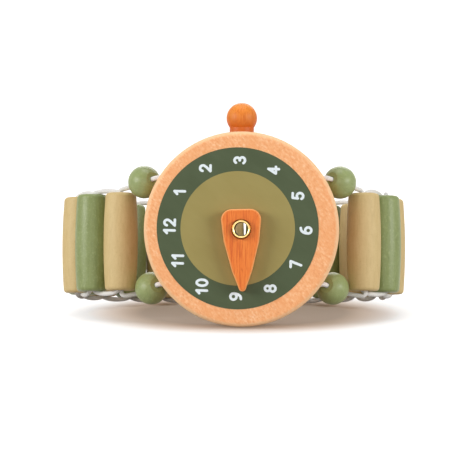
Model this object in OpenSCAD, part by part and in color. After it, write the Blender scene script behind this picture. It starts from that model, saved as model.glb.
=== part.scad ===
// Toy watch: a round wooden case with a printed dial, a turning hand on a hollow rivet,
// a ball crown, and a strap of turned wooden rods strung side by side on one elastic cord.
// The watch stands on the edge of its case with the crown up and the strap behind it.
// X runs along the dial from the 12 to the 6, Y away from the dial's front, Z up.

/* [Case] */
// Diameter of the round case
case_d = 40; // [36:0.5:44]
// Thickness of the case
case_t = 9; // [8:0.25:11]
// Rounding of the case's front edge
case_front_round = 1; // [0.4:0.1:1.4]
// Rounding of the case's back edge
case_back_round = 3; // [2.4:0.1:3.4]

/* [Dial] */
// Outer diameter of the printed ring
ring_d = 33.1; // [29:0.1:34]
// Diameter of the printed centre
centre_d = 23.4; // [18:0.1:27]
// Thickness of the print
print_t = 0.06; // [0.04:0.01:0.2]
// How far the print sits off the case's centre, towards the 12
print_shift_x = 0.75; // [0:0.05:0.9]
// How far the print sits off the case's centre, towards the crown
print_shift_z = 0.15; // [0:0.05:0.5]

/* [Hand] */
// Thickness of the hand
hand_t = 2.5; // [1.5:0.1:3.5]
// Greatest width of the hand
hand_w = 8.2; // [7:0.1:10]
// Distance from the rivet to the hand's flat end
hand_head_reach = 4.1; // [3.4:0.1:5]
// Distance from the rivet to the hand's tip
hand_tip_reach = 12.7; // [10:0.1:14.5]
// Rounding of the two corners at the hand's flat end
hand_corner_round = 2.2; // [1.4:0.1:2.6]
// Diameter of the hand's rounded tip
hand_tip_d = 1.5; // [1.4:0.1:2.6]
// Rounding of the hand's front edge
hand_edge_round = 0.4; // [0.2:0.05:0.6]
// How far the hand is turned from the 9 towards the 8
hand_turn = 1.2; // [-180:0.2:180]

/* [Rivet] */
// Diameter of the hole through the hollow rivet
rivet_hole_d = 2.7; // [2:0.1:3.2]
// Wall of the rivet's barrel
rivet_wall = 0.3; // [0.2:0.05:0.4]
// Thickness of the rivet's rolled lips
rivet_lip_d = 0.72; // [0.6:0.02:0.9]

/* [Crown] */
// Diameter of the crown's ball
crown_ball_d = 6.3; // [5.6:0.1:7]
// Diameter of the crown's neck
crown_neck_d = 5; // [4:0.1:5.4]
// Height of the ball's centre above the case's rim
crown_stand = 2.85; // [2.4:0.05:3.6]
// Depth to which the neck is glued into the case
crown_plug = 5; // [4:0.1:5.6]

/* [Ball beads] */
// Diameter of the ball beads
bead_d = 6.8; // [6:0.1:7.4]
// Length of the ball beads between the flats at their holes
bead_len = 6.1; // [5.4:0.1:6.4]
// How far the ball beads' centres lie behind the case's back
bead_back = 0.4; // [0.2:0.05:0.6]

/* [Rods] */
// Diameter of the strap's rods at the middle
rod_d = 7.2; // [6.6:0.1:7.8]
// Diameter of the strap's rods at their ends
rod_end_d = 6.5; // [6:0.1:6.8]
// Length of the strap's rods
rod_len = 20.5; // [18:0.25:23]
// Rounding of the rods' outer end edges
rod_edge_round = 0.8; // [0.4:0.05:1]
// Rounding of the mouths of the rods' bores
rod_mouth_round = 0.3; // [0.15:0.05:0.45]
// Gap between neighbouring rods
rod_gap = 0.2; // [0.12:0.02:0.5]
// Rods on each side of the middle one
side_rod_count = 8; // [7:1:9]

/* [Strap] */
// Gap between the case's rim and the first rod, seen from the front
first_rod_gap = 1.9; // [1:0.05:2.4]
// How far the strap's middle line lies below the dial's centre, at the case's front
strap_drop = 1.7; // [1:0.1:2.2]
// How far the strap droops towards its back
strap_droop = 4.5; // [3:0.1:5.5]
// How far the strap's sides lean to the left towards its back
strap_skew = 11.3; // [0:0.1:14]

/* [Elastic] */
// Diameter of the elastic cord
cord_d = 1; // [0.8:0.05:1.15]
// Radius of the cord's bends along its middle
cord_bend = 0.8; // [0.65:0.05:0.9]
// Distance of the cord's holes through the case from the case's centre
cord_hole_off = 11; // [10.6:0.1:11.6]
// How far both of the cord's holes sit below their even places about the case's centre
cord_hole_drop = 0.4; // [0:0.05:0.5]
// Distance of the cord's holes from the case's back
cord_hole_back = 3; // [2.8:0.1:3.6]
// How far the cord runs straight out of the case before it turns
cord_run_out = 0.75; // [0.6:0.05:1]
// How much lower than the other loops the cord turns up into the first rods
first_loop_drop = 0.6; // [0.45:0.05:0.9]

/* [Fits] */
// Running fit of the hand on the rivet, each side
running_fit = 0.06; // [0.03:0.01:0.1]
// Gap of what is riveted or glued in the case, each side
fixed_fit = 0.03; // [0.02:0.01:0.06]
// Gap between the hand and the print, and between the hand and the rivet's lip
hand_gap = 0.15; // [0.1:0.01:0.3]
// Gap between the cord and its holes, each side
cord_fit = 0.12; // [0.08:0.01:0.2]
// Gap between the cord's two strands in a rod, and between a loop and a rod's end
strand_gap = 0.1; // [0.06:0.01:0.16]
// Gap between a ball bead and the case or the first rod
bead_gap = 0.12; // [0.06:0.01:0.25]

/* [Hidden] */
$fn = 96;
// How far a cutting tool runs past the face it cuts
overrun = 1;
// Clearance round the rivet's lip in its recess
lip_clearance = 0.4;
// Halvings of the interval when a place is solved for
solve_steps = 40;
// Intervals in which the headings of the strap's first and last links are sought
lowest_heading = -60;
highest_heading = 140;
most_back_turn = 20;
// Steps in a small rounding and along a rod's barrel
round_steps = 6;
barrel_steps = 10;
hand_edge_steps = 3;
hand_fn = 32;
// Share of the cord's drop from the case to the first rod that lies before a ball bead's centre
bead_drop_share = 0.35;
// Slant of the strands in the first rods, as a share of the heading of the link behind them
first_slant_share = 0.7;
// Sides of the cord and steps in one of its bends
cord_sides = 8;
bend_steps = 4;

case_r = case_d / 2;
rod_r = rod_d / 2;
rod_end_r = rod_end_d / 2;
cord_r = cord_d / 2;
bead_r = bead_d / 2;
rod_count = 2 * side_rod_count + 1;
middle_rod = side_rod_count + 1;
rod_pitch = rod_d + rod_gap;

// The hand's sides between its flat end and its tip: distance to the tip and width, as shares
hand_side_shares = [[0.14, 0.9], [0.61, 0.54]];

rivet_hole_r = rivet_hole_d / 2;
rivet_barrel_r = rivet_hole_r + rivet_wall;
rivet_lip_r = rivet_lip_d / 2;
rivet_out_r = rivet_hole_r + rivet_lip_d;
hand_back = print_t + hand_gap;
hand_front = hand_back + hand_t;
rivet_front = hand_front + hand_gap + rivet_lip_r;
rivet_recess = rivet_lip_d + 2 * fixed_fit;
rivet_back = case_t - rivet_recess + fixed_fit + rivet_lip_r;

// The strands lie side by side across the strap, the outer one on the outside of the loop
strand_off = cord_r + strand_gap / 2;
rod_bore_r = strand_off + cord_r + cord_fit;
cord_hole_r = cord_r + cord_fit;
cord_hole_depth = case_t - cord_hole_back;
loop_height = rod_len / 2 + strand_gap + cord_r;

function unit(v) = v / norm(v);
function two_digits(i) = i < 10 ? str("0", i) : str(i);

// Root of a rising function f between low and high
function solve(f, low, high, steps = solve_steps) =
    let (middle = (low + high) / 2)
    steps == 0 ? middle
    : f(middle) > 0 ? solve(f, low, middle, steps - 1)
    : solve(f, middle, high, steps - 1);

// The strap's loop seen from above, as two halves from the rods beside the case to the middle
// rod. The links between rod axes start at one heading and turn fast at first, then ever more
// slowly, to run nearly straight across at the back. The left half starts further out than the
// right one by twice the skew, and both meet at the middle rod.
first_x = case_r + first_rod_gap + rod_r;
function heading(first, last, i) = first + (last - first) * sin(90 * (i - 1 / 2) / side_rod_count);
function across(first, last, links) =
    links < 1 ? 0 : across(first, last, links - 1) + rod_pitch * cos(heading(first, last, links));
function along(first, last, links) =
    links < 1 ? 0 : along(first, last, links - 1) + rod_pitch * sin(heading(first, last, links));
function first_for(mean, side) = mean + side * strap_skew;
function last_for(turn, side) = 180 - side * turn;
function depth_for(mean, turn, side) =
    along(first_for(mean, side), last_for(turn, side), side_rod_count);
function turn_for(mean) =
    solve(
        function(turn) depth_for(mean, turn, 1) - depth_for(mean, turn, -1),
        -most_back_turn,
        most_back_turn
    );
function reach_for(mean, turn, side) =
    first_x + across(first_for(mean, side), last_for(turn, side), side_rod_count);
mean_heading = solve(
    function(mean)
        let (turn = turn_for(mean))
        -reach_for(mean, turn, -1) - reach_for(mean, turn, 1),
    lowest_heading,
    highest_heading
);
back_turn = turn_for(mean_heading);
function first_heading(side) = first_for(mean_heading, side);
function last_heading(side) = last_for(back_turn, side);

// Places in the strap's plane become places in the watch's frame
function on_strap(p) = [
    p.x,
    p.y * cos(strap_droop) + p.z * sin(strap_droop),
    p.z * cos(strap_droop) - p.y * sin(strap_droop) - strap_drop
];
function off_strap(p) = [
    p.x,
    p.y * cos(strap_droop) - (p.z + strap_drop) * sin(strap_droop),
    p.y * sin(strap_droop) + (p.z + strap_drop) * cos(strap_droop)
];

// The ball beads lie against the case's back edge, their centres this far from the case's axis
bead_reach = case_r - case_back_round + sqrt(
    pow(case_back_round + bead_r + bead_gap, 2) - pow(case_back_round + bead_back, 2)
);

// The cord leaves the case's rim, runs through a ball bead, turns and runs on to the first rod.
// side is -1 for the beads on the left and 1 on the right, up is 1 above and -1 below. The places
// are those on the right; the left ones are mirrored, but meet the other of the rod's two strands.
function cord_hole_z(up) = up * cord_hole_off - cord_hole_drop;
function case_corner(up) = [
    sqrt(pow(case_r, 2) - pow(cord_hole_z(up), 2)) + cord_run_out,
    cord_hole_depth,
    cord_hole_z(up)
];
function first_slant(side) =
    first_slant_share * heading(first_heading(side), last_heading(side), 1);
function first_drop(up) = up == -1 ? first_loop_drop : 0;
function first_corner(rod_y, side, up) = on_strap([
    first_x - side * up * strand_off * sin(first_slant(side)),
    rod_y + side * up * strand_off * cos(first_slant(side)),
    up * (loop_height + first_drop(up))
]);
function centre_for(rod_y, side, up) =
    let (
        start_z = case_corner(up).z,
        z = start_z + bead_drop_share * (first_corner(rod_y, side, up).z - start_z)
    )
    [sqrt(pow(bead_reach, 2) - pow(z, 2)), case_t + bead_back, z];
function axis_for(rod_y, side, up) = unit(centre_for(rod_y, side, up) - case_corner(up));

// The first rods stand as close behind the lower beads as the gap there allows
function lower_bead_gap(rod_y, side) =
    let (bead = off_strap(centre_for(rod_y, side, -1)))
    norm([first_x - bead.x, rod_y - bead.y]) - rod_r - bead_r;
first_y = max([
    for (side = [-1, 1])
        solve(
            function(rod_y) lower_bead_gap(rod_y, side) - bead_gap,
            case_t + bead_back,
            case_t + rod_d + bead_d
        )
]);
function on_side(p, side) = [side * p.x, p.y, p.z];
function bead_axis(side, up) = on_side(axis_for(first_y, side, up), side);
function bead_centre(side, up) = on_side(centre_for(first_y, side, up), side);

// Rod axes in the strap's plane, numbered from the left of the case round the back to its right
function rod_place(i) =
    let (
        side = i > middle_rod ? 1 : -1,
        links = min(i, rod_count + 1 - i) - 1,
        first = first_heading(side),
        last = last_heading(side)
    )
    [side * (first_x + across(first, last, links)), first_y + along(first, last, links)];

// Outward normal of the strap's loop at a rod
function rod_normal(i) =
    i == 1 ? [-sin(first_slant(-1)), -cos(first_slant(-1))]
    : i == rod_count ? [sin(first_slant(1)), -cos(first_slant(1))]
    : let (run = unit(rod_place(i + 1) - rod_place(i - 1))) [-run.y, run.x];

// Each rod holds two strands that cross over: one comes from the rod before at the top and goes
// on to the next at the bottom, the other the other way round. side is 1 outside and -1 inside.
function strand_corner(i, side, up, drop = 0) =
    let (place = rod_place(i) + side * strand_off * rod_normal(i))
    on_strap([place.x, place.y, up * (loop_height + drop)]);

// Middle of the loop between rods i and i + 1
function loop_middle(i, up) =
    (strand_corner(i, -up, up) + strand_corner(i + 1, up, up)) / 2;

// Places on a ball bead's axis behind it: where the cord's stretch through the case meets that of
// the first rod, and where the cord turns towards the rod
function behind_bead(side, up, run) =
    bead_centre(side, up) + bead_axis(side, up) * (bead_len / 2 + run);
function bead_exit(side, up) = behind_bead(side, up, strand_gap);
function bead_turn(side, up) = behind_bead(side, up, cord_r + cord_run_out);

// The watch leans back until the loops under the strap's back stand on the floor with the case
outer_strand_y = max([for (i = [1:rod_count]) rod_place(i).y + strand_off * rod_normal(i).y]);
lowest_loop = on_strap([0, outer_strand_y, -loop_height]);
lean_run = lowest_loop.y - case_t + case_back_round;
lean_rise = lowest_loop.z + case_r - case_back_round;
lean = asin((case_back_round - cord_r) / norm([lean_run, lean_rise])) + atan2(lean_rise, lean_run);
stand_z = (case_t - case_back_round) * sin(lean) + (case_r - case_back_round) * cos(lean)
    + case_back_round;
front_y = -hand_front * cos(lean) - (hand_tip_reach - hand_edge_round) * sin(lean);
back_rod_y = max([for (i = [1:rod_count]) rod_place(i).y]);
back_y = (back_rod_y + rod_end_r - rod_edge_round) * cos(lean + strap_droop)
    + (rod_len / 2 - rod_edge_round) * sin(lean + strap_droop)
    - strap_drop * sin(lean) + rod_edge_round;
stand_y = -(front_y + back_y) / 2;
rod_xs = [for (i = [1:rod_count]) rod_place(i).x];
stand_x = -(min(rod_xs) + max(rod_xs)) / 2;

SIDES = ["left", "right"];

// Sets what is drawn in the watch's frame on the floor
module stand() {
    translate([stand_x, stand_y, stand_z])
        rotate([-lean, 0, 0])
            children();
}

// Turns a solid about Z into one about the case's axis, Z to the back
module about_dial_axis() {
    rotate([-90, 0, 0])
        children();
}

// Lays a shape in the dial's plane, its thickness to the front
module on_dial(depth) {
    translate([0, -depth, 0])
        rotate([90, 0, 0])
            children();
}

// Turns Z to run along a direction
module along_direction(direction) {
    rotate([0, acos(direction.z / norm(direction)), atan2(direction.y, direction.x)])
        children();
}

module on_strap_at(place) {
    translate([0, 0, -strap_drop])
        rotate([-strap_droop, 0, 0])
            translate([place.x, place.y, 0])
                children();
}

module case_profile() {
    square([case_r - case_back_round, case_t]);
    square([case_r - case_front_round, case_t - case_back_round]);
    translate([0, case_front_round])
        square([case_r, case_t - case_front_round - case_back_round]);
    translate([case_r - case_front_round, case_front_round])
        circle(r = case_front_round);
    translate([case_r - case_back_round, case_t - case_back_round])
        circle(r = case_back_round);
}

module case() {
    color("burlywood")
        difference() {
            about_dial_axis()
                rotate_extrude()
                    case_profile();
            about_dial_axis()
                translate([0, 0, -overrun])
                    cylinder(r = rivet_barrel_r + fixed_fit, h = case_t + 2 * overrun);
            about_dial_axis()
                translate([0, 0, case_t - rivet_recess])
                    cylinder(r = rivet_out_r + lip_clearance, h = rivet_recess + overrun);
            translate([0, case_t / 2, case_r - crown_plug])
                cylinder(d = crown_neck_d + 2 * fixed_fit, h = crown_plug + overrun);
            for (up = [-1, 1])
                translate([0, cord_hole_depth, cord_hole_z(up)])
                    rotate([0, 90, 0])
                        cylinder(r = cord_hole_r, h = case_d + 2 * overrun, center = true);
        }
}

module printed_disc(outer_d, inner_r, inner_x, inner_z) {
    on_dial(0)
        difference() {
            translate([-print_shift_x, print_shift_z, 0])
                cylinder(d = outer_d, h = print_t);
            translate([inner_x, inner_z, -overrun])
                cylinder(r = inner_r, h = print_t + 2 * overrun);
        }
}

module dial_ring() {
    color("darkslategray")
        printed_disc(ring_d, centre_d / 2, -print_shift_x, print_shift_z);
}

module dial_centre() {
    color("darkkhaki")
        printed_disc(centre_d, rivet_barrel_r + fixed_fit, 0, 0);
}

// One round of the hand's outline, with its front edge rounded
module hand_round(place, radius) {
    for (step = [0:hand_edge_steps]) {
        angle = 90 * step / hand_edge_steps;
        translate([place.x, place.y, 0])
            cylinder(
                r = radius - hand_edge_round * (1 - cos(angle)),
                h = hand_t - hand_edge_round * (1 - sin(angle)),
                $fn = hand_fn
            );
    }
}

module hand() {
    corner_x = hand_w / 2 - hand_corner_round;
    corner_y = hand_head_reach - hand_corner_round;
    color("peru")
        on_dial(hand_back)
            rotate([0, 0, hand_turn])
                difference() {
                    hull() {
                        for (x = [-corner_x, corner_x])
                            hand_round([x, corner_y], hand_corner_round);
                        for (share = hand_side_shares)
                            hand_round([0, -share[0] * hand_tip_reach], share[1] * hand_w / 2);
                        hand_round([0, hand_tip_d / 2 - hand_tip_reach], hand_tip_d / 2);
                    }
                    translate([0, 0, -overrun])
                        cylinder(r = rivet_barrel_r + running_fit, h = hand_t + 2 * overrun);
                }
}

module rivet() {
    color("gold")
        about_dial_axis()
            rotate_extrude() {
                translate([rivet_hole_r, -rivet_front])
                    square([rivet_wall, rivet_front + rivet_back]);
                for (lip_y = [-rivet_front, rivet_back])
                    translate([rivet_hole_r + rivet_lip_r, lip_y])
                        circle(r = rivet_lip_r);
            }
}

module crown() {
    color("chocolate")
        translate([0, case_t / 2, 0]) {
            translate([0, 0, case_r + crown_stand])
                sphere(d = crown_ball_d);
            translate([0, 0, case_r - crown_plug + fixed_fit])
                cylinder(d = crown_neck_d, h = crown_plug + crown_stand - fixed_fit);
        }
}

// A drilled ball bead on the cord between the case and the first rod
module ball_bead(side, up) {
    color("darkseagreen")
        translate(bead_centre(side, up))
            along_direction(bead_axis(side, up))
                difference() {
                    intersection() {
                        sphere(d = bead_d);
                        cube([bead_d, bead_d, bead_len], center = true);
                    }
                    cylinder(r = cord_hole_r, h = bead_d, center = true);
                }
}

// Half of a rod's section above its middle, from the bore's wall to the barrel's widest line
rod_top = [
    for (step = [0:round_steps])
        let (angle = 90 * step / round_steps)
        [
            rod_bore_r + rod_mouth_round * (1 - cos(angle)),
            rod_len / 2 - rod_mouth_round * (1 - sin(angle))
        ],
    for (step = [0:round_steps])
        let (angle = 90 * step / round_steps)
        [
            rod_end_r - rod_edge_round * (1 - sin(angle)),
            rod_len / 2 - rod_edge_round * (1 - cos(angle))
        ],
    for (step = [1:barrel_steps])
        let (share = 1 - step / barrel_steps)
        [
            rod_r - (rod_r - rod_end_r) * pow(share, 2),
            (rod_len / 2 - rod_edge_round) * share
        ]
];
rod_section = concat(
    rod_top,
    [for (k = [len(rod_top) - 2:-1:0]) [rod_top[k].x, -rod_top[k].y]]
);

module rod(i) {
    color(i % 2 == 1 ? "wheat" : "olivedrab")
        on_strap_at(rod_place(i))
            rotate_extrude()
                polygon(rod_section);
}

// Middle line of a cord along straight runs joined by round bends: a place and a direction each
function cord_line(route) =
    let (
        last = len(route) - 1,
        runs = [for (k = [0:last - 1]) unit(route[k + 1] - route[k])]
    )
    concat(
        [[route[0], runs[0]]],
        [for (k = [1:last - 1]) each bend_line(route[k], runs[k - 1], runs[k])],
        [[route[last], runs[last - 1]]]
    );
function bend_line(corner, incoming, outgoing) =
    let (
        turn = acos(incoming * outgoing),
        inward = cross(unit(cross(incoming, outgoing)), incoming),
        centre = corner - incoming * cord_bend * tan(turn / 2) + inward * cord_bend
    )
    [
        for (step = [0:bend_steps])
            let (angle = turn * step / bend_steps)
            [
                centre + cord_bend * (incoming * sin(angle) - inward * cos(angle)),
                incoming * cos(angle) + inward * sin(angle)
            ]
    ];

// A round cord along a route. The normal lies across the route at every point of it.
module cord(route, normal) {
    line = cord_line(route);
    last = len(line) - 1;
    points = [
        for (spot = line)
            let (across = unit(cross(spot[1], normal)), over = cross(across, spot[1]))
            for (k = [0:cord_sides - 1])
                let (angle = 360 * k / cord_sides)
                spot[0] + cord_r * (over * cos(angle) + across * sin(angle))
    ];
    walls = [
        for (ring = [0:last - 1])
            for (k = [0:cord_sides - 1])
                let (
                    a = ring * cord_sides + k,
                    b = ring * cord_sides + (k + 1) % cord_sides
                )
                each [[a, b, b + cord_sides], [a, b + cord_sides, a + cord_sides]]
    ];
    first_end = [for (k = [cord_sides - 1:-1:0]) k];
    last_end = [for (k = [0:cord_sides - 1]) last * cord_sides + k];
    polyhedron(points, concat(walls, [first_end, last_end]));
}

// The cord's stretch through the case, out to both ball beads
module elastic_case(up) {
    color("white")
        cord(
            [bead_exit(-1, up), on_side(case_corner(up), -1), case_corner(up), bead_exit(1, up)],
            [0, 0, 1]
        );
}

// The two strands in a rod, with their half loops towards the rods on both sides
module elastic_rod(i) {
    color("white")
        for (up = [-1, 1]) {
            before = i == 1 ? [bead_exit(-1, up), bead_turn(-1, up)] : [loop_middle(i - 1, up)];
            after = i == rod_count ? [bead_turn(1, -up), bead_exit(1, -up)] : [loop_middle(i, -up)];
            drop_before = i == 1 ? first_drop(up) : 0;
            drop_after = i == rod_count ? first_drop(-up) : 0;
            corners = [
                strand_corner(i, up, up, drop_before),
                strand_corner(i, up, -up, drop_after)
            ];
            cord(concat(before, corners, after), concat(rod_normal(i), 0));
        }
}

stand() case();
stand() dial_ring();
stand() dial_centre();
stand() crown();
stand() rivet();
stand() hand();
stand() ball_bead(-1, 1);  // ball_bead_upper_left
stand() ball_bead(1, 1);  // ball_bead_upper_right
stand() ball_bead(-1, -1);  // ball_bead_lower_left
stand() ball_bead(1, -1);  // ball_bead_lower_right
stand() elastic_case(1);  // elastic_case_upper
stand() elastic_case(-1);  // elastic_case_lower
for (i = [1:rod_count])
    stand() rod(i);
for (i = [1:rod_count])
    stand() elastic_rod(i);
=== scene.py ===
# Toy watch: finishes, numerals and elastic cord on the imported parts, then stage, lamps and camera.
import math

import bpy
import numpy as np
from mathutils import Matrix, Vector


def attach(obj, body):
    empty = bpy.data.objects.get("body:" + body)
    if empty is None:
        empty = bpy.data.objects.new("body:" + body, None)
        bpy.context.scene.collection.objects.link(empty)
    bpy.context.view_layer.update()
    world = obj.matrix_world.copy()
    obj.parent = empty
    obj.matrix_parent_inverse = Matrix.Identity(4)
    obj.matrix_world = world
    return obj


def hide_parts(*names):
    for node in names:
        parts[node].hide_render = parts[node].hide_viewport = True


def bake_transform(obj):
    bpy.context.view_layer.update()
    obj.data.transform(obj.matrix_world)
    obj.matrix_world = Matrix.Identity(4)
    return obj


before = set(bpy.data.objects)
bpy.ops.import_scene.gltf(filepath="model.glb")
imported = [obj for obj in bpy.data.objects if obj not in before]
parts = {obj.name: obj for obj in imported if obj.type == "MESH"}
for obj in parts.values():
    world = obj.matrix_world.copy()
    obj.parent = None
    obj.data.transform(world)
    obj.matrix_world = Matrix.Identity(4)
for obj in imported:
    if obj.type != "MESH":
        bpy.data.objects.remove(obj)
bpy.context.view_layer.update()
MM = 0.001
TO_MM = 1000

# The case's own frame: x from 12 to 6, y away from the dial, z towards the 3. It leans back a bit.
LEAN = math.radians(4.94497)
FACE = Vector((1.89446, -22.8739, 20.4539)) * MM
WATCH = Matrix.Translation(FACE) @ Matrix.Rotation(-LEAN, 4, "X")
WATCH_TURN = WATCH.to_3x3()
PRINT_SHIFT = Vector((-0.75, 0, 0.15)) * MM     # from the face's middle to the print's
PRINT_FRONT = -0.06 * MM                        # the print's outer side

# Rod centres from the left of the case round the back to its right
RODS = [Vector(p) * MM for p in (
    (-23.6055, -10.3443, 16.6515), (-29.8791, -6.4729, 16.0075), (-33.1915, 0.0546, 14.9216),
    (-32.8086, 7.3445, 13.7089), (-29.157, 13.6936, 12.6527), (-23.3106, 18.1685, 11.9082),
    (-16.3584, 20.6693, 11.4922), (-9.0267, 21.6589, 11.3276), (-1.6294, 21.8563, 11.2948),
    (5.7706, 21.8665, 11.2931), (13.1382, 21.1851, 11.4064), (20.2509, 19.1707, 11.7415),
    (26.5606, 15.3568, 12.376), (31.1974, 9.6679, 13.3224), (33.1915, 2.6382, 14.4918),
    (31.8927, -4.5481, 15.6873), (27.3945, -10.3443, 16.6515))]
ROD_AXIS = Vector((0, 0.1641, 0.986444))
STRAND_OFF = 0.55 * MM
# From each rod's axis to its outer strand. In the end rods the strands lie on a slant.
OUT = [Vector((-0.2098, -0.5016, 0.0835)) * MM]
OUT += [ROD_AXIS.cross(after - before).normalized() * STRAND_OFF
        for before, after in zip(RODS, RODS[2:])]
OUT += [Vector((0.3294, -0.4345, 0.0723)) * MM]

# Places where painted highlights and painted shade change, in millimetres: where the change starts
# and where it is full
RIM_HIGHLIGHT = (19.1, 19.75)    # from the case's axis
NEAR_FACE = (1.6, 0.9)      # behind the case's face
LIP_DARK = (1.62, 1.82)     # from the rivet's axis
BARREL_DARK = (1.5, 1.38)   # from the rivet's axis
CROWN_SHADE = (45.5, 41)     # above the floor


def srgb(r, g, b):
    """A colour written as 0 to 255 levels, as the shader's linear values."""
    def one(v):
        v /= 255
        return v / 12.92 if v <= 0.04045 else ((v + 0.055) / 1.055) ** 2.4
    return (one(r), one(g), one(b), 1)


class Nodes:
    """Short calls to lay out the nodes of one material or world."""

    def __init__(self, owner, shader="Principled BSDF"):
        owner.use_nodes = True
        self.owner = owner
        self.tree = owner.node_tree
        self.shader = self.tree.nodes[shader]

    def feed(self, socket, value):
        """Links a socket to another node's output, or sets a plain value on it."""
        if isinstance(value, bpy.types.NodeSocket):
            self.tree.links.new(value, socket)
        else:
            socket.default_value = value

    def add(self, kind, inputs=None, **settings):
        """A new node with its settings and with its inputs, by name or number."""
        node = self.tree.nodes.new(kind)
        for key, value in settings.items():
            setattr(node, key, value)
        for key, value in (inputs or {}).items():
            self.feed(node.inputs[key], value)
        return node

    def source(self, name):
        return self.add("ShaderNodeTexCoord").outputs[name]

    def coords(self, turn=(0, 0, 0), stretch=(1, 1, 1), shift=(0, 0, 0)):
        """Object places in millimetres, turned so that the grain runs along x, then scaled."""
        turned = self.add("ShaderNodeMapping", {
            "Vector": self.source("Object"), "Rotation": turn}, vector_type="TEXTURE")
        return self.add("ShaderNodeMapping", {
            "Vector": turned.outputs[0], "Location": shift,
            "Scale": [s * TO_MM for s in stretch]}).outputs[0]

    def watch_place(self):
        """The place in the case's own frame, from the middle of its face, in millimetres."""
        return self.add("ShaderNodeMapping", {
            "Vector": self.source("Object"), "Location": FACE, "Rotation": (-LEAN, 0, 0),
            "Scale": (MM, MM, MM)}, vector_type="TEXTURE").outputs[0]

    def vector_maths(self, operation, a, b=(0, 0, 0)):
        return self.add("ShaderNodeVectorMath", {0: a, 1: b}, operation=operation).outputs

    def radius(self):
        """Distance from the case's axis in millimetres."""
        flat = self.vector_maths("MULTIPLY", self.watch_place(), (1, 0, 1))["Vector"]
        return self.vector_maths("LENGTH", flat)["Value"]

    def facing(self, direction):
        """How much the surface faces a direction of its own object: 1 square on, 0 edge on."""
        return self.vector_maths("DOT_PRODUCT", self.source("Normal"), direction)["Value"]

    def part_of(self, vector, axis):
        return self.add("ShaderNodeSeparateXYZ", {0: vector}).outputs[axis]

    def noise(self, stretch, scale, detail, rough, turn=(0, 0, 0), shift=(0, 0, 0), distortion=0):
        """Noise over the turned, stretched and shifted places that coords gives."""
        return self.add("ShaderNodeTexNoise", {
            "Vector": self.coords(turn, stretch, shift), "Scale": scale, "Detail": detail,
            "Roughness": rough, "Distortion": distortion}).outputs["Fac"]

    def ramp(self, fac, *stops):
        node = self.add("ShaderNodeValToRGB", {"Fac": fac})
        elements = node.color_ramp.elements
        while len(elements) < len(stops):
            elements.new(0.5)
        for element, (place, colour) in zip(elements, stops):
            element.position = place
            element.color = colour
        return node.outputs["Color"]

    def level(self, fac, low, high, out_low=0, out_high=1):
        """A value's way from low to high, laid over out_low to out_high and held at both ends."""
        return self.add("ShaderNodeMapRange", {
            "Value": fac, "From Min": low, "From Max": high,
            "To Min": out_low, "To Max": out_high}).outputs["Result"]

    def mix(self, a, b, fac):
        return self.add("ShaderNodeMix", {0: fac, 6: a, 7: b}, data_type="RGBA").outputs[2]

    def maths(self, operation, a, b):
        return self.add("ShaderNodeMath", {0: a, 1: b}, operation=operation).outputs[0]

    def seen(self):
        """1 for rays that look, straight, in gloss or through glass, and 0 for rays that light."""
        rays = self.add("ShaderNodeLightPath").outputs
        indirect = self.maths("MAXIMUM", rays["Is Glossy Ray"], rays["Is Transmission Ray"])
        return self.maths("MAXIMUM", rays["Is Camera Ray"], indirect)

    def bump(self, height, strength, distance):
        """Relief whose full height is the distance, in millimetres."""
        relief = self.add("ShaderNodeBump", {
            "Strength": strength, "Distance": distance * MM, "Height": height})
        self.feed(self.shader.inputs["Normal"], relief.outputs[0])

    def finish(self, **inputs):
        """Feeds the shader's own sockets and gives back the material or world."""
        for key, value in inputs.items():
            self.feed(self.shader.inputs[key.replace("_", " ")], value)
        return self.owner


def material(name):
    return Nodes(bpy.data.materials.new(name))


def grain_along(direction):
    """The turn that lays texture x along a direction."""
    return tuple(Vector((1, 0, 0)).rotation_difference(direction).to_euler())


def beech(name):
    """Plain beech: short fine flecks, soft figure and a painted highlight along the rounded front
    edge of the case.
    """
    n = material(name)
    turn = tuple(Matrix.Rotation(math.radians(52), 4, "Y").to_euler())
    fibre = n.noise((1.0, 1.9, 1.9), 1.3, 4, 0.62, turn)
    figure = n.noise((0.14, 0.3, 0.3), 1, 3, 0.55, turn, distortion=0.8)
    fleck = n.noise((1.7, 2.9, 2.9), 1, 2, 0.5, turn, (7, 3, 1))
    base = n.ramp(fibre, (0.28, srgb(236, 156, 98)), (0.5, srgb(245, 178, 124)),
                  (0.74, srgb(253, 208, 164)))
    base = n.mix(base, srgb(240, 164, 106), n.level(figure, 0.42, 0.72, 0, 0.6))
    base = n.mix(base, srgb(222, 136, 80), n.level(fleck, 0.57, 0.72, 0, 0.42))
    # painted highlight: the rounded front edge of the rim is made paler, as where it catches the
    # light
    edge = n.maths("MULTIPLY", n.level(n.radius(), *RIM_HIGHLIGHT),
                   n.level(n.part_of(n.watch_place(), "Y"), *NEAR_FACE))
    base = n.mix(base, srgb(253, 214, 166), n.maths("MULTIPLY", edge, 0.75))
    n.bump(n.maths("ADD", fibre, n.maths("MULTIPLY", fleck, -0.5)), 0.22, 0.04)
    return n.finish(Base_Color=base, Roughness=n.level(fibre, 0.2, 0.8, 0.5, 0.62),
                    Specular_IOR_Level=0.3)


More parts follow.
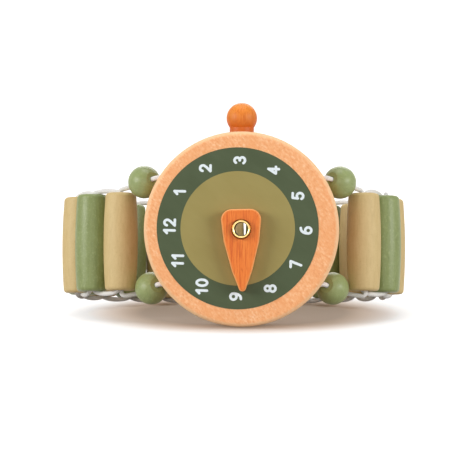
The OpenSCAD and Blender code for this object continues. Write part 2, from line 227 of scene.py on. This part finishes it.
def stained(name, turn, light, mid, dark, shade_heights=None, front=None):
    """Wood under a clear stain, with its grain along the piece. Painted shade can darken it low
    down, from one height to another, and a painted highlight can lighten the edge facets of the face
    that looks to the front."""
    n = material(name)
    fibre = n.noise((0.12, 2.3, 2.3), 1.5, 5, 0.66, turn)
    pores = n.noise((0.5, 4, 4), 1.2, 2, 0.5, turn, (3, 5, 2))
    figure = n.noise((0.08, 0.6, 0.6), 1, 2, 0.5, turn)
    base = n.ramp(fibre, (0.28, dark), (0.5, mid), (0.74, light))
    base = n.mix(base, light, n.level(figure, 0.5, 0.8, 0, 0.5))
    base = n.mix(base, dark, n.level(pores, 0.56, 0.7, 0, 0.4))
    if shade_heights:
        # painted shade: darker towards the bottom, where less light reaches
        base = n.mix(base, dark, n.level(n.part_of(n.coords(), "Z"), *shade_heights))
    if front:
        turned = n.facing(front)
        # painted highlight: the bevel facets that turn partly to the front are made paler, as where
        # they catch the light
        wear_and_highlight = n.maths("MULTIPLY", n.level(turned, 0.99, 0.85), n.level(turned, 0.1, 0.5))
        base = n.mix(base, srgb(250, 184, 116), n.maths("MULTIPLY", wear_and_highlight, 0.7))
    n.bump(n.maths("ADD", fibre, n.maths("MULTIPLY", pores, -0.6)), 0.3, 0.05)
    return n.finish(Base_Color=base, Roughness=n.level(fibre, 0.2, 0.8, 0.42, 0.55),
                    Specular_IOR_Level=0.35)


def printed(name, colour, wear_and_highlight):
    """Matt screen print that lets the wood's surface show a little."""
    n = material(name)
    turn = (0, math.radians(38), 0)
    fibre = n.noise((0.2, 2.2, 2.2), 1.6, 4, 0.6, turn)
    cloud = n.noise((0.12, 0.3, 0.3), 1, 3, 0.5, turn)
    base = n.mix(colour, wear_and_highlight, n.level(cloud, 0.35, 0.8, 0, 0.5))
    base = n.mix(base, wear_and_highlight, n.level(fibre, 0.6, 0.78, 0, 0.35))
    n.bump(fibre, 0.15, 0.03)
    return n.finish(Base_Color=base, Roughness=n.level(fibre, 0.2, 0.8, 0.6, 0.75),
                    Specular_IOR_Level=0.22)


def painted(name, light, mid, dark, turn, seed, pebble, rough):
    """Satin paint over turned wood: soft clouds, a faint grain and fine pebbling whose tops carry
    painted sparkle highlights.
    """
    n = material(name)
    shift = (seed * 3.1, seed * 1.7, seed)
    fibre = n.noise((0.3, 1.9, 1.9), 1.2, 4, 0.55, turn, shift)
    cloud = n.noise((0.2, 0.36, 0.36), 1, 3, 0.55, turn, shift)
    speck = n.noise((3.6, 5, 5), 1, 2, 0.5, turn, shift)
    grit = n.noise((1.5, 2.1, 2.1), 1, 2, 0.5, turn, shift)
    base = n.ramp(fibre, (0.22, dark), (0.5, mid), (0.8, light))
    base = n.mix(base, mid, 0.72)
    base = n.mix(base, light, n.level(cloud, 0.48, 0.8, 0, 0.5))
    base = n.mix(base, dark, n.level(speck, 0.56, 0.74, 0, 0.32))
    # painted highlight: the pebbles' tops are lightened as sparkles
    base = n.mix(base, light, n.level(grit, 0.55, 0.7, 0, pebble))
    n.bump(n.maths("ADD", n.maths("MULTIPLY", grit, 2 * pebble),
                   n.maths("MULTIPLY", fibre, 0.4)), 0.42, 0.09)
    return n.finish(Base_Color=base, Roughness=n.level(cloud, 0.3, 0.8, rough, rough + 0.12),
                    Specular_IOR_Level=0.42)


def rod_paints(word, tones, first, pebble, rough):
    """Three paints of one colour that differ in their clouds and grain."""
    return [painted(f"rod_{word}_{k}", *tones, grain_along(ROD_AXIS), k + first, pebble, rough)
            for k in (1, 4, 7)]


def brass(name):
    """Bright brass on the rolled lips, with a band of painted shade and reflection round them, and
    painted shade inside the barrel, which is also rougher.
    """
    n = material(name)
    fine = n.noise((3, 3, 3), 2, 4, 0.6)
    reach = n.radius()
    inside = n.level(reach, *BARREL_DARK)
    base = n.ramp(fine, (0.3, srgb(236, 194, 112)), (0.7, srgb(253, 232, 170)))
    # painted shade and painted reflection of the hand's wood: a dark band round the lips
    base = n.mix(base, srgb(112, 64, 20), n.level(reach, *LIP_DARK))
    # painted shade: dark inside the barrel
    base = n.mix(base, srgb(44, 24, 12), inside)
    n.bump(fine, 0.12, 0.02)
    rough = n.maths("ADD", n.maths("MULTIPLY", inside, 0.35), n.level(fine, 0.3, 0.7, 0.1, 0.18))
    return n.finish(Base_Color=base, Roughness=rough, Metallic=1.0)


def woven(name):
    """Round braided elastic: crossing yarns from the tube's own length and girth."""
    n = material(name)
    place = n.source("UV")
    waves = []
    for turn in (45, -45):
        spun = n.add("ShaderNodeMapping", {
            "Vector": place, "Rotation": (0, 0, math.radians(turn))})
        wave = n.add("ShaderNodeTexWave", {
            "Vector": spun.outputs[0], "Scale": 1.25}, wave_profile="SIN")
        waves.append(wave.outputs["Fac"])
    yarns = n.maths("MAXIMUM", *waves)
    fuzz = n.noise((4, 4, 4), 2, 2, 0.5)
    base = n.ramp(yarns, (0.35, srgb(222, 218, 211)), (0.85, srgb(252, 251, 249)))
    base = n.mix(base, srgb(238, 234, 228), n.level(fuzz, 0.5, 0.8, 0, 0.5))
    n.bump(n.maths("ADD", yarns, n.maths("MULTIPLY", fuzz, 0.3)), 0.6, 0.08)
    return n.finish(Base_Color=base, Roughness=0.75, Specular_IOR_Level=0.2,
                    Sheen_Weight=0.25, Sheen_Roughness=0.5)


def ink(name, colour, wear_and_highlight):
    """Thin opaque print with a faint unevenness."""
    n = material(name)
    cloud = n.noise((1.5, 1.5, 1.5), 2, 3, 0.6)
    n.bump(cloud, 0.1, 0.02)
    return n.finish(Base_Color=n.mix(colour, wear_and_highlight, n.level(cloud, 0.5, 0.75, 0, 0.5)),
                    Roughness=0.6, Specular_IOR_Level=0.3)


def paint(obj, mat):
    """Gives every slot of an object one material."""
    if not obj.data.materials:
        obj.data.materials.append(mat)
    for slot in obj.material_slots:
        slot.material = mat


def put(name, data, mat=None):
    """Puts a mesh, curve, lamp or camera into the scene."""
    obj = bpy.data.objects.new(name, data)
    bpy.context.collection.objects.link(obj)
    if mat:
        paint(obj, mat)
    return obj


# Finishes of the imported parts. The hand's and the crown's grain runs towards the 3.
ACROSS_GRAIN = grain_along(WATCH_TURN @ Vector((0, 0, 1)))
TO_FRONT = tuple(WATCH_TURN @ Vector((0, -1, 0)))
# Light, middle and dark tone of each colour
ORANGE = (srgb(243, 144, 62), srgb(232, 121, 44), srgb(196, 78, 20))
AMBER = (srgb(252, 164, 68), srgb(244, 144, 50), srgb(202, 98, 20))
CREAM = (srgb(224, 200, 146), srgb(212, 186, 130), srgb(182, 152, 96))
GREEN = (srgb(150, 162, 108), srgb(134, 147, 90), srgb(102, 114, 62))
SAGE = (srgb(162, 174, 118), srgb(146, 159, 102), srgb(116, 129, 72))
paint(parts["case"], beech("case_wood"))
paint(parts["dial_ring"], printed("ring_print", srgb(75, 86, 61), srgb(88, 100, 74)))
paint(parts["dial_centre"], printed("centre_print", srgb(153, 140, 84), srgb(165, 152, 96)))
paint(parts["hand"], stained("hand_wood", ACROSS_GRAIN, *ORANGE, front=TO_FRONT))
paint(parts["crown"], stained("crown_wood", ACROSS_GRAIN, *AMBER, shade_heights=CROWN_SHADE))
paint(parts["rivet"], brass("rivet_brass"))
cream_paints = rod_paints("cream", CREAM, 0, 0.2, 0.5)
green_paints = rod_paints("green", GREEN, 1, 0.8, 0.36)
for i in range(1, len(RODS) + 1):
    paints = cream_paints if i % 2 else green_paints
    paint(parts[f"rod_{i:02d}"], paints[i // 2 % len(paints)])
for k, name in enumerate(("upper_left", "upper_right", "lower_left", "lower_right")):
    turn = (0.2, math.radians(8 + 15 * k), math.radians(40 * k))
    paint(parts[f"ball_bead_{name}"],
          painted(f"bead_{name}_paint", *SAGE, turn, k + 11, 0.55, 0.32))


def arc(cx, cy, rx, ry, start, end, count=14):
    """Points on an oval's arc, from one angle in degrees to another."""
    angles = [math.radians(start + (end - start) * k / count) for k in range(count + 1)]
    return [(cx + rx * math.cos(a), cy + ry * math.sin(a)) for a in angles]


# Numerals: each digit's width and its centre lines, in a box one unit high
TAIL = [(0.112, 0.36), (0.125, 0.52), (0.18, 0.69), (0.27, 0.81), (0.38, 0.875), (0.5, 0.888)]
SIX_WIDTH = 0.67
SIX = [arc(0.335, 0.335, 0.223, 0.227, 0, 360, 28), TAIL]
DIGITS = {
    "0": (0.67, [arc(0.335, 0.5, 0.222, 0.39, 0, 360, 32)]),
    "1": (0.44, [[(0.108, 0.68), (0.315, 0.885), (0.315, 0.108)]]),
    "2": (0.66, [arc(0.33, 0.665, 0.205, 0.222, 170, -25)
                 + [(0.42, 0.43), (0.125, 0.115), (0.55, 0.115)]]),
    "3": (0.66, [arc(0.31, 0.69, 0.2, 0.2, 155, -90), arc(0.315, 0.305, 0.222, 0.2, 90, -155)]),
    "4": (0.7, [[(0.44, 0.108), (0.44, 0.885), (0.11, 0.33), (0.6, 0.33)]]),
    "5": (0.66, [[(0.52, 0.885), (0.185, 0.885), (0.145, 0.5)]
                 + arc(0.32, 0.34, 0.23, 0.235, 128, -150)]),
    "6": (SIX_WIDTH, SIX),
    "7": (0.64, [[(0.11, 0.885), (0.53, 0.885), (0.25, 0.108)]]),
    "8": (0.67, [arc(0.335, 0.69, 0.19, 0.196, 0, 360, 28),
                 arc(0.335, 0.31, 0.222, 0.204, 0, 360, 28)]),
    "9": (SIX_WIDTH, [[(SIX_WIDTH - x, 1 - y) for x, y in stroke] for stroke in SIX]),
}
# In digit heights: the round pen's radius, the gap between two digits, and the cells that trace
# the pen with the margin that they need round a digit
PEN, DIGIT_GAP, CELL, MARGIN = 0.097, 0.12, 0.018, 0.05
NUMBER_H = 2.75 * MM
NUMBER_RING = 13.95 * MM
PRINT_TURN = math.radians(1.6)
INK = 0.02 * MM


def pen_outlines(strokes, width):
    """Closed outlines of the area within the pen's reach of the strokes, by marching squares."""
    xs = np.arange(-MARGIN, width + MARGIN + CELL, CELL)
    ys = np.arange(-MARGIN, 1 + MARGIN + CELL, CELL)
    gx, gy = np.meshgrid(xs, ys, indexing="ij")
    reach = np.full(gx.shape, np.inf)
    for stroke in strokes:
        for (ax, ay), (bx, by) in zip(stroke, stroke[1:]):
            dx, dy = bx - ax, by - ay
            t = np.clip(((gx - ax) * dx + (gy - ay) * dy) / max(dx * dx + dy * dy, 1e-12), 0, 1)
            reach = np.minimum(reach, np.hypot(gx - ax - t * dx, gy - ay - t * dy))
    # The small part keeps the outline off the grid's own points
    field = PEN - reach + 1e-7

    def crossing(a, b):
        """Where the outline cuts the line between two grid points."""
        t = field[a] / (field[a] - field[b])
        return (xs[a[0]] + (xs[b[0]] - xs[a[0]]) * t, ys[a[1]] + (ys[b[1]] - ys[a[1]]) * t)

    places, following = {}, {}
    for i in range(len(xs) - 1):
        for j in range(len(ys) - 1):
            ring = [(i, j), (i + 1, j), (i + 1, j + 1), (i, j + 1)]
            inside = [field[c] > 0 for c in ring]
            leaving = [k for k in range(4) if inside[k] and not inside[(k + 1) % 4]]
            entering = [k for k in range(4) if not inside[k] and inside[(k + 1) % 4]]
            for k in leaving:
                nearest = min(entering, key=lambda e: (k - e) % 4)
                entering.remove(nearest)
                start, end = (tuple(sorted((ring[e], ring[(e + 1) % 4]))) for e in (k, nearest))
                places[start] = crossing(*start)
                places[end] = crossing(*end)
                following[start] = end
    loops = []
    while following:
        start, at = following.popitem()
        loop = [places[start]]
        while at != start:
            loop.append(places[at])
            at = following.pop(at)
        loops.append(loop)
    return loops


def number(value):
    """One numeral as a thin print on the ring, upright towards the 12."""
    name = f"number_{value:02d}"
    curve = bpy.data.curves.new(name, "CURVE")
    curve.dimensions = "2D"
    curve.fill_mode = "BOTH"
    curve.extrude = INK / 2
    text = str(value)
    total = sum(DIGITS[c][0] for c in text) + DIGIT_GAP * (len(text) - 1)
    at = -total / 2
    for c in text:
        width, strokes = DIGITS[c]
        for loop in pen_outlines(strokes, width):
            spline = curve.splines.new("POLY")
            spline.points.add(len(loop) - 1)
            for point, (x, y) in zip(spline.points, loop):
                point.co = ((x + at) * NUMBER_H, (y - 0.5) * NUMBER_H, 0, 1)
            spline.use_cyclic_u = True
        at += width + DIGIT_GAP
    outline = put("outline", curve)
    bpy.context.view_layer.update()
    mesh = bpy.data.meshes.new_from_object(
        outline.evaluated_get(bpy.context.evaluated_depsgraph_get()))
    bpy.data.objects.remove(outline)
    # Angle from the 12, clockwise for the wearer: 12 towards -x, 3 towards +z
    angle = math.radians(30 * value) + PRINT_TURN
    centre = PRINT_SHIFT + Vector((-math.cos(angle), 0, math.sin(angle))) * NUMBER_RING
    centre.y = PRINT_FRONT - INK / 2
    # Glyph right to +z, glyph up to -x, glyph front to -y
    basis = Matrix(((0, -1, 0), (0, 0, -1), (1, 0, 0))).to_4x4()
    mesh.transform(
        WATCH @ Matrix.Translation(centre) @ Matrix.Rotation(PRINT_TURN, 4, "Y") @ basis)
    mesh.name = name
    obj = put(name, mesh, white_ink)
    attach(obj, "watch_case")


white_ink = ink("number_print", srgb(228, 238, 242), srgb(206, 217, 220))
for value in range(1, 13):
    number(value)

# Elastic: one cord through every rod twice, as smooth tubes
CORD_R = 0.5 * MM
INNER_R = CORD_R * 0.985    # of the half span that slides inside the other
SIDES = 14
LOOP_UP = 10.85 * MM        # from a rod's middle to the cord's highest point
MOUTH_UP = 9.6 * MM         # from a rod's middle to where the cord starts to bend
LOOP_STEPS = 26
# A cubic's middle reaches three quarters of its handles' height
ARCH = (LOOP_UP - MOUTH_UP) / 0.75
elastic = woven("elastic_white")


def tube(name, path, radius=CORD_R):
    """A closed tube along a path, with its length and girth in UV as millimetres."""
    pts = [Vector(p) for p in path]
    runs = [(pts[min(k + 1, len(pts) - 1)] - pts[max(k - 1, 0)]).normalized()
            for k in range(len(pts))]
    side = runs[0].orthogonal().normalized()
    verts, faces, uvs, lengths = [], [], [], []
    length = 0
    for k, (p, run) in enumerate(zip(pts, runs)):
        side = (side - run * side.dot(run)).normalized()
        up = run.cross(side)
        length += (p - pts[k - 1]).length if k else 0
        lengths.append(length / MM)
        for s in range(SIDES):
            a = 2 * math.pi * s / SIDES
            verts.append(p + (side * math.cos(a) + up * math.sin(a)) * radius)
    girth = 2 * math.pi * radius / MM
    for k in range(len(pts) - 1):
        for s in range(SIDES):
            a, b = k * SIDES + s, k * SIDES + (s + 1) % SIDES
            faces.append((a, b, b + SIDES, a + SIDES))
            uvs += [(lengths[end], girth * across / SIDES)
                    for end, across in ((k, s), (k, s + 1), (k + 1, s + 1), (k + 1, s))]
    last = (len(pts) - 1) * SIDES
    faces += [tuple(range(SIDES))[::-1], tuple(last + s for s in range(SIDES))]
    uvs += [(0, 0)] * SIDES * 2
    mesh = bpy.data.meshes.new(name)
    mesh.from_pydata(verts, [], faces)
    layer = mesh.uv_layers.new(name="UVMap")
    for loop, uv in zip(layer.data, uvs):
        loop.uv = uv
    for face in mesh.polygons:
        face.use_smooth = len(face.vertices) == 4
    return put(name, mesh, elastic)


def bezier(a, b, c, d, count):
    return [a * (1 - t) ** 3 + b * 3 * t * (1 - t) ** 2 + c * 3 * t * t * (1 - t) + d * t ** 3
            for t in (k / count for k in range(count + 1))]


def loop_path(i, up):
    """From the middle of rod i out of its end, over and into the next rod; up is -1 below."""
    a = RODS[i] - OUT[i] * up
    b = RODS[i + 1] + OUT[i + 1] * up
    rise = ROD_AXIS * up
    mouth, handle = rise * MOUTH_UP, rise * (MOUTH_UP + ARCH)
    return [a, *bezier(a + mouth, a + handle, b + handle, b + mouth, LOOP_STEPS), b]


OPEN_SPAN = 8       # the span at whose middle the ring of bodies is opened
LAP = 3             # points that each half of it runs past the middle
strands = {}        # the cord pieces at each elastic body
for i in range(len(RODS) - 1):
    for up, word in ((1, "upper"), (-1, "lower")):
        first, second = f"elastic_{i + 1:02d}", f"elastic_{i + 2:02d}"
        path = loop_path(i, up)
        if i == OPEN_SPAN:
            middle = len(path) // 2
            for body, part, radius in ((first, path[:middle + LAP + 1], CORD_R),
                                       (second, path[middle - LAP:], INNER_R)):
                obj = tube(f"cord_{word}_{body}", part, radius)
                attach(obj, body)
                strands.setdefault(body, []).append(obj)
        else:
            obj = tube(f"cord_{word}_{i + 1:02d}", path)
            if i > OPEN_SPAN:
                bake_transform(obj)
            else:
                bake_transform(obj)
            strands.setdefault(first, []).append(obj)
            strands.setdefault(second, []).append(obj)

# Cord ends: out of the case through each ball bead, round behind it, then into the first or last
# rod. Each bead's row holds the place just behind the bead and the direction of its bore.
BEADS = {("left", 1): ((-20.3529, -10.2919, 28.5256), (-0.601741, 0.754677, -0.261477)),
         ("left", -1): ((-18.336, -11.9184, 6.31246), (-0.431196, 0.843336, -0.320709)),
         ("right", 1): ((24.1577, -10.3026, 28.4835), (0.602839, 0.751996, -0.266621)),
         ("right", -1): ((22.1553, -11.915, 6.35956), (0.435431, 0.843685, -0.313999))}
CASE_HOLES = {("left", 1): (-15.8155, -15.9825, 30.4973),
              ("left", -1): (-15.2884, -17.8789, 8.57916),
              ("right", 1): (19.6044, -15.9825, 30.4973),
              ("right", -1): (19.0774, -17.8789, 8.57916)}
BEAD_RUN = 1.15 * MM    # straight on from a bead before the cord bends
LOW_DROP = 0.6 * MM     # that the lower ends reach further out than a loop
BEND = 0.8 * MM
BEND_STEPS = 8
PULL = 0.55             # how far a bend's handles reach towards its corner
POINT_GAP = 0.6 * MM


def rounded(points):
    """A path through points, with its corners bent."""
    path = [points[0]]
    for before, corner, after in zip(points, points[1:], points[2:]):
        a, b = (before - corner).normalized(), (after - corner).normalized()
        back = BEND / math.tan(a.angle(b) / 2)
        start, end = corner + a * back, corner + b * back
        path += bezier(start, start.lerp(corner, PULL), end.lerp(corner, PULL), end, BEND_STEPS)
    return path + [points[-1]]


def spread(points):
    """The same path with its points no further than a gap apart."""
    path = [points[0]]
    for a, b in zip(points, points[1:]):
        count = max(1, math.ceil((b - a).length / POINT_GAP))
        path += [a.lerp(b, k / count) for k in range(1, count + 1)]
    return path


for up, word in ((1, "upper"), (-1, "lower")):
    ends = [Vector(BEADS[side, up][0]) * MM for side in ("left", "right")]
    holes = [Vector(CASE_HOLES[side, up]) * MM for side in ("left", "right")]
    through = tube(f"cord_case_{word}", spread(rounded([ends[0], *holes, ends[1]])))
    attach(through, "watch_case")
    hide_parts(f"elastic_case_{word}")
    for side, rod, outer in (("left", 0, up), ("right", len(RODS) - 1, -up)):
        start = Vector(BEADS[side, up][0]) * MM
        foot = RODS[rod] + OUT[rod] * outer
        rise = ROD_AXIS * up
        corner = foot + rise * (LOOP_UP + (LOW_DROP if up < 0 else 0))
        turn = start + Vector(BEADS[side, up][1]) * BEAD_RUN
        obj = tube(f"cord_{side}_{word}", spread(rounded([start, turn, corner, foot])))
        body = f"elastic_{rod + 1:02d}"
        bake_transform(obj)
        strands.setdefault(body, []).append(obj)
for body, pieces in strands.items():
    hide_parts(body)

# Stage: mid-toned warm paper that runs up into a backdrop. Rays that see it find it brighter by its
# own glow, which is full and white outside an oval under the watch. In the oval the glow is weak and
# warm, so the floor there carries painted shadow and painted warm bounce light on top of the lamps'
# own shadow.
OVAL_WIDE, OVAL_DEEP = 0.029, 0.03
OVAL_SHIFT = (-0.07, -0.14, 0)      # in ovals
OVAL_EDGE = (0.75, 1.45)            # in ovals: where the glow starts to grow and where it is full
WHITE_FROM = 0.6                    # the share of that way at which the glow is white
GLOW_NEAR, GLOW_FAR = 0.12, 1.0
paper = material("paper")
oval = paper.add("ShaderNodeMapping", {
    "Vector": paper.source("Object"), "Scale": (1 / OVAL_WIDE, 1 / OVAL_DEEP, 0),
    "Location": OVAL_SHIFT})
far = paper.level(paper.vector_maths("LENGTH", oval.outputs[0])["Value"], *OVAL_EDGE)
paper.finish(
    Base_Color=(0.4, 0.37, 0.345, 1), Roughness=0.9, Specular_IOR_Level=0.1,
    # painted warm bounce light in the oval under the watch, white glow outside it
    Emission_Color=paper.mix((1, 0.6, 0.32, 1), (1, 1, 1, 1), paper.level(far, 0, WHITE_FROM)),
    Emission_Strength=paper.maths(
        "MULTIPLY", paper.seen(), paper.level(far, 0, 1, GLOW_NEAR, GLOW_FAR)))

WIDE = 1.6
FLOOR_FRONT, FLOOR_BACK, SWEEP_R, SWEEP_TOP = -1.2, 0.6, 0.3, 1.4
profile = [(FLOOR_FRONT, 0)]
profile += [(FLOOR_BACK + SWEEP_R * math.sin(a), SWEEP_R - SWEEP_R * math.cos(a))
            for a in (math.radians(degrees) for degrees in range(0, 91, 6))]
profile += [(FLOOR_BACK + SWEEP_R, SWEEP_TOP)]
sweep = bpy.data.meshes.new("backdrop")
sweep.from_pydata([(x, y, z) for y, z in profile for x in (-WIDE, WIDE)], [],
                  [(2 * k, 2 * k + 1, 2 * k + 3, 2 * k + 2) for k in range(len(profile) - 1)])
for face in sweep.polygons:
    face.use_smooth = True
backdrop = put("backdrop", sweep, paper.owner)

# World: white where a ray sees it, and a weak even light on everything
SKY_LIGHT = 0.17
sky = Nodes(bpy.data.worlds.new("studio"), "Background")
bpy.context.scene.world = sky.finish(
    Color=(1, 1, 1, 1), Strength=sky.level(sky.seen(), 0, 1, SKY_LIGHT, 1.0))

# Soft lamps, turned to the middle of the watch: place, width, height and power
MIDDLE = Vector((0, 0, 0.018))
for name, place, width, height, power in (
        ("left_soft", (-0.5, -0.32, 0.2), 0.3, 0.2, 2.2),
        ("right_soft", (0.48, -0.34, 0.17), 0.3, 0.2, 1.85),
        ("front_soft", (-0.02, -0.55, 0.13), 0.25, 0.15, 0.38),
        ("top_soft", (0, 0, 0.6), 0.3, 0.3, 1.15),
        ("back_soft", (0.05, 0.5, 0.35), 0.4, 0.25, 0.8)):
    light = bpy.data.lights.new(name, "AREA")
    light.shape = "RECTANGLE"
    light.size, light.size_y = width, height
    light.energy = power
    lamp = put(name, light)
    lamp.location = place
    lamp.rotation_euler = (MIDDLE - Vector(place)).to_track_quat("-Z", "Y").to_euler()

# Camera: level with the dial's tilt, a little towards the 12
SENSOR = 36
PHOTO_SIZE, FOCAL = 457, 2350       # in the photo's pixels
AZIMUTH, ELEVATION, DISTANCE = math.radians(0.75), math.radians(5), 480 * MM
AIM_LEFT, AIM_UP = 2.63, 0.12       # from the face's middle, in millimetres
side, level_out = math.sin(AZIMUTH), math.cos(AZIMUTH)
towards = Vector((side * math.cos(ELEVATION), -level_out * math.cos(ELEVATION),
                  math.sin(ELEVATION)))
right = Vector((level_out, side, 0))
camera_data = bpy.data.cameras.new("camera")
camera_data.sensor_width = SENSOR
camera_data.lens = FOCAL / PHOTO_SIZE * SENSOR
camera_data.clip_start, camera_data.clip_end = 0.01, 10
camera = put("camera", camera_data)
bpy.context.scene.camera = camera
camera.location = FACE + towards * DISTANCE
aim = FACE - right * AIM_LEFT * MM + Vector((0, 0, AIM_UP)) * MM
camera.rotation_euler = (aim - camera.location).to_track_quat("-Z", "Y").to_euler()

bpy.context.scene.view_settings.view_transform = "Standard"
